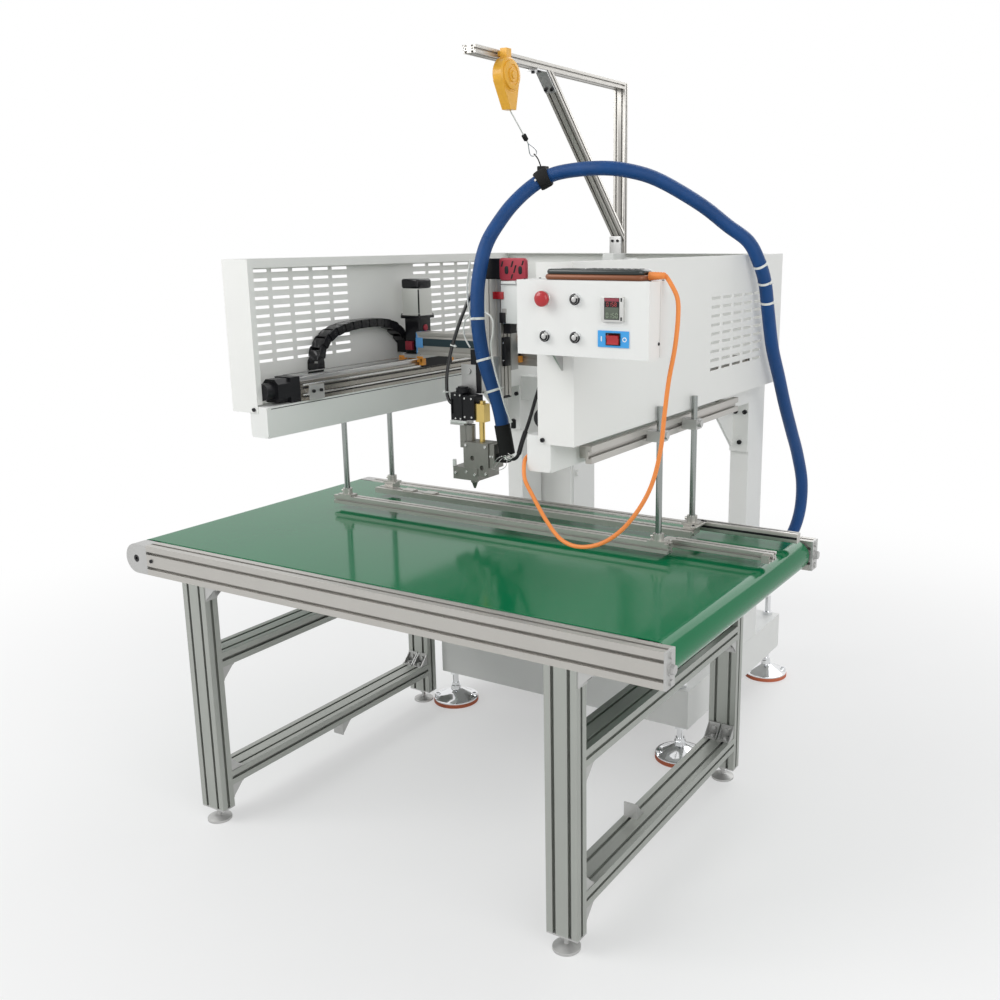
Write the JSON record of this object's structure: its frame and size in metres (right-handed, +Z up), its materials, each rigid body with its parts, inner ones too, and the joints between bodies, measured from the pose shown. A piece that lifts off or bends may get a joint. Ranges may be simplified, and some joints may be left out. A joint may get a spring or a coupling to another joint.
{
  "type": "inline glue dispensing machine",
  "caption": "Inline glue dispensing machine: a green belt table under an arched white stand with a three-axis gluing head, a heated hose on a balancer, and a control box",
  "frame": {"origin": "centre of the machine's footprint on the floor", "axes": "X along the belt from its left end to its right end, Y from the operator's side at the front to the stand at the back, Z up"},
  "size_m": [1.5959, 1.7769, 2.003],
  "materials": {
    "profile": "clear anodised extruded aluminium with slots",
    "coat": "warm white powder coat, fine texture, half gloss",
    "steel": "machined and zinc-plated steel",
    "rod_chrome": "hard chrome, mirror bright",
    "belt_green": "glossy green PVC conveyor belt",
    "dark_plate": "dark grey painted sheet",
    "black_parts": "black moulded plastic and black oxide steel",
    "pad_rubber": "orange-red rubber",
    "hose_blue": "blue corrugated plastic sleeve on the heated hose",
    "cable_orange": "orange PVC cable jacket",
    "balancer_yellow": "yellow-orange enamel",
    "red_plastic": "red moulded plastic",
    "red_anodised": "dark red anodised aluminium",
    "plate_blue": "light blue printed foil plate",
    "brass": "bare brass"
  },
  "bodies": {
    "root": {"side_rails": "profile", "rail_ends": "profile", "belt": "belt_green", "slider_bed": "steel", "return_cover": "dark_plate", "legs": "profile", "cross_members": "profile", "corner_brackets": "steel", "table_feet": "steel", "base_frame": "coat", "machine_feet": "rod_chrome", "foot_pads": "pad_rubber", "columns": "coat", "arm_beams": "coat", "left_cover": "coat", "right_cover": "coat", "rear_cover": "coat", "cabinet": "coat", "cap_screws": "black_parts", "y_modules": "profile", "overhead_frame": "profile", "balancer": "balancer_yellow", "balancer_line": "black_parts", "hose_run": "hose_blue", "carrier_rails": "profile", "control_box": "coat", "controller": "black_parts", "switch_plate": "plate_blue", "pendant": "black_parts", "pendant_cable": "cable_orange"},
    "front_guide": {"front_rods": "rod_chrome", "front_guide": "profile"},
    "rear_guide": {"rear_rods": "rod_chrome", "rear_guide": "profile"},
    "y_gantry": {"y_carriages": "steel", "x_beam": "profile", "servo": "steel", "drag_chain": "black_parts", "hose_y": "hose_blue"},
    "x_carriage": {"x_slide": "black_parts", "z_module": "profile", "belt_housing": "red_anodised", "hose_x": "hose_blue"},
    "z_head": {"z_slide": "profile", "gun_valve": "black_parts", "gun_body": "steel", "gun_fittings": "brass", "hose_boot": "black_parts", "hose_z": "hose_blue", "gun_cables": "black_parts"},
    "drive_roller": {"drive_roller": "rod_chrome"},
    "tail_roller": {"tail_roller": "rod_chrome"},
    "e_stop": {"e_stop": "red_plastic"},
    "button_a": {"button_a": "rod_chrome"},
    "button_b": {"button_b": "rod_chrome"},
    "button_c": {"button_c": "rod_chrome"},
    "rocker": {"rocker": "red_plastic"},
    "front_clamps": {"front_clamps": "steel"},
    "rear_clamps": {"rear_clamps": "steel"}
  },
  "joints": [
    {"name": "belt_drive", "type": "hinge", "parent": "root", "child": "drive_roller", "pos_m": [0.742, 0, 0.71], "axis": [0, 1, 0], "continuous": true},
    {"name": "belt_return", "type": "hinge", "parent": "root", "child": "tail_roller", "pos_m": [-0.758, 0, 0.71], "axis": [0, 1, 0], "continuous": true},
    {"name": "stop_press", "type": "slide", "parent": "root", "child": "e_stop", "axis": [0, 1, 0], "range_m": [0, 0.006]},
    {"name": "button_a_press", "type": "slide", "parent": "root", "child": "button_a", "axis": [0, 1, 0], "range_m": [0, 0.003], "stiffness_N_per_m": 400},
    {"name": "button_b_press", "type": "slide", "parent": "root", "child": "button_b", "axis": [0, 1, 0], "range_m": [0, 0.003], "stiffness_N_per_m": 400},
    {"name": "button_c_press", "type": "slide", "parent": "root", "child": "button_c", "axis": [0, 1, 0], "range_m": [0, 0.003], "stiffness_N_per_m": 400},
    {"name": "rocker_tilt", "type": "hinge", "parent": "root", "child": "rocker", "pos_m": [0.625, -0.7905, 1.337], "axis": [1, 0, 0], "range_deg": [-16, 0]},
    {"name": "front_clamp_slide", "type": "slide", "parent": "root", "child": "front_clamps", "axis": [0, 1, 0], "range_m": [-0.06, 0.01]},
    {"name": "front_guide_lift", "type": "slide", "parent": "front_clamps", "child": "front_guide", "axis": [0, 0, 1], "range_m": [-0.008, 0.05]},
    {"name": "rear_clamp_slide", "type": "slide", "parent": "root", "child": "rear_clamps", "axis": [0, 1, 0], "range_m": [-0.01, 0.06]},
    {"name": "rear_guide_lift", "type": "slide", "parent": "rear_clamps", "child": "rear_guide", "axis": [0, 0, 1], "range_m": [-0.008, 0.05]},
    {"name": "y_travel", "type": "slide", "parent": "root", "child": "y_gantry", "axis": [0, 1, 0], "range_m": [-0.25, 0.2], "deforming": ["hose_y", "drag_chain"]},
    {"name": "x_travel", "type": "slide", "parent": "y_gantry", "child": "x_carriage", "axis": [1, 0, 0], "range_m": [-0.2, 0.25], "deforming": ["hose_x"]},
    {"name": "z_travel", "type": "slide", "parent": "x_carriage", "child": "z_head", "axis": [0, 0, 1], "range_m": [-0.03, 0.1], "deforming": ["hose_z", "gun_cables"]}
  ],
  "couplings": [
    {"joint": "belt_return", "follows": "belt_drive", "ratio": 1}
  ]
}
